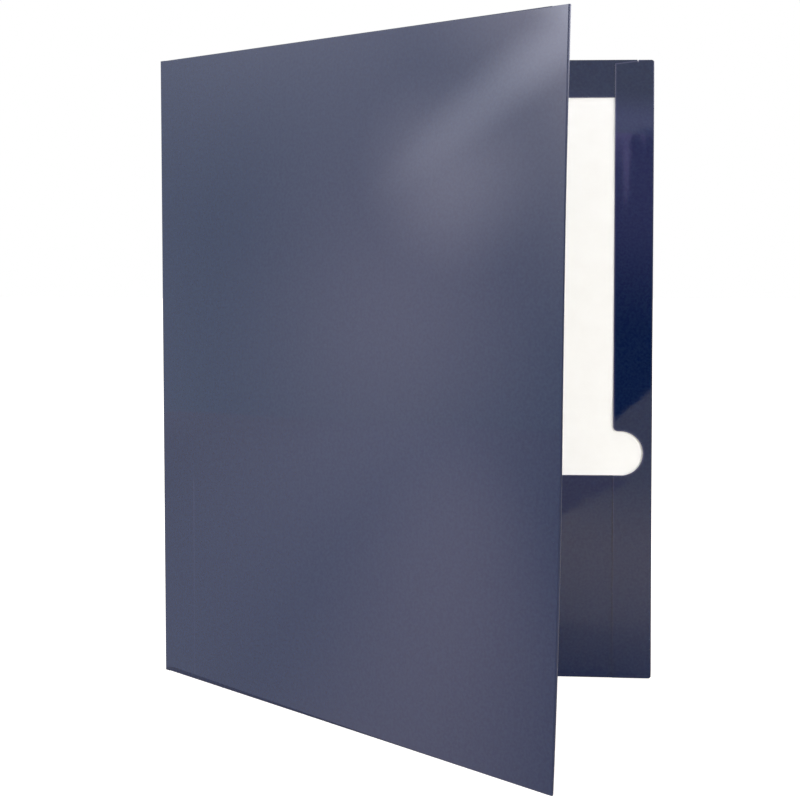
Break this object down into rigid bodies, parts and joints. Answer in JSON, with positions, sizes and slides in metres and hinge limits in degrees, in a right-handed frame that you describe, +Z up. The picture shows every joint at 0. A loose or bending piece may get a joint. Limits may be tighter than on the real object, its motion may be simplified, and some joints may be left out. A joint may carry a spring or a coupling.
{
  "type": "two pocket folder",
  "caption": "Upright half-open presentation folder of folded navy laminated paperboard, with hemmed edges and a glued pocket inside each cover.",
  "frame": {"origin": "on the floor, in the middle of the standing folder's footprint box", "axes": "+Z up along the spine, +X from the spine to the back cover's free edge, +Y out of the back cover's outside face"},
  "size_m": [0.2428, 0.1544, 0.3048],
  "materials": {
    "laminated_board": "navy gloss film on the outside, bare white board inside",
    "dried_glue": "clear dried glue line"
  },
  "bodies": {
    "back_leaf": {"back_cover": "laminated_board", "back_top_hem": "laminated_board", "back_side_hem": "laminated_board", "back_pocket_fold": "laminated_board", "back_pocket_tab": "laminated_board", "back_pocket_end": "laminated_board", "back_top_hem_glue": "dried_glue", "back_side_hem_glue": "dried_glue", "back_corner_glue": "dried_glue", "back_pocket_tab_glue": "dried_glue", "back_pocket_end_glue": "dried_glue"},
    "spine": {"spine": "laminated_board"},
    "front_leaf": {"front_cover": "laminated_board", "front_top_hem": "laminated_board", "front_side_hem": "laminated_board", "front_pocket_fold": "laminated_board", "front_pocket_tab": "laminated_board", "front_pocket_end": "laminated_board", "front_top_hem_glue": "dried_glue", "front_side_hem_glue": "dried_glue", "front_corner_glue": "dried_glue", "front_pocket_tab_glue": "dried_glue", "front_pocket_end_glue": "dried_glue"},
    "back_pocket": {"back_pocket": "laminated_board"},
    "front_pocket": {"front_pocket": "laminated_board"}
  },
  "joints": [
    {"name": "back_crease", "type": "hinge", "parent": "spine", "child": "back_leaf", "pos_m": [-0.11988, 0.07676, 0.1524], "axis": [0, 0, 1], "range_deg": [-19.25, 70.75]},
    {"name": "front_crease", "type": "hinge", "parent": "spine", "child": "front_leaf", "pos_m": [-0.12107, 0.07336, 0.1524], "axis": [0, 0, -1], "range_deg": [-19.25, 70.75]},
    {"name": "back_pocket_swing", "type": "hinge", "parent": "back_leaf", "child": "back_pocket", "pos_m": [0.00077, 0.07586, 0.0006], "axis": [1, 0, 0], "range_deg": [-1.16, 4.25]},
    {"name": "front_pocket_swing", "type": "hinge", "parent": "front_leaf", "child": "front_pocket", "pos_m": [-0.02609, -0.00104, 0.0006], "axis": [-0.7826, 0.6225, 0], "range_deg": [-1.16, 4.25]}
  ],
  "couplings": [
    {"joint": "front_crease", "follows": "back_crease", "ratio": 1},
    {"joint": "back_pocket_swing", "follows": "back_crease", "ratio": 0.06},
    {"joint": "front_pocket_swing", "follows": "back_crease", "ratio": 0.06}
  ]
}
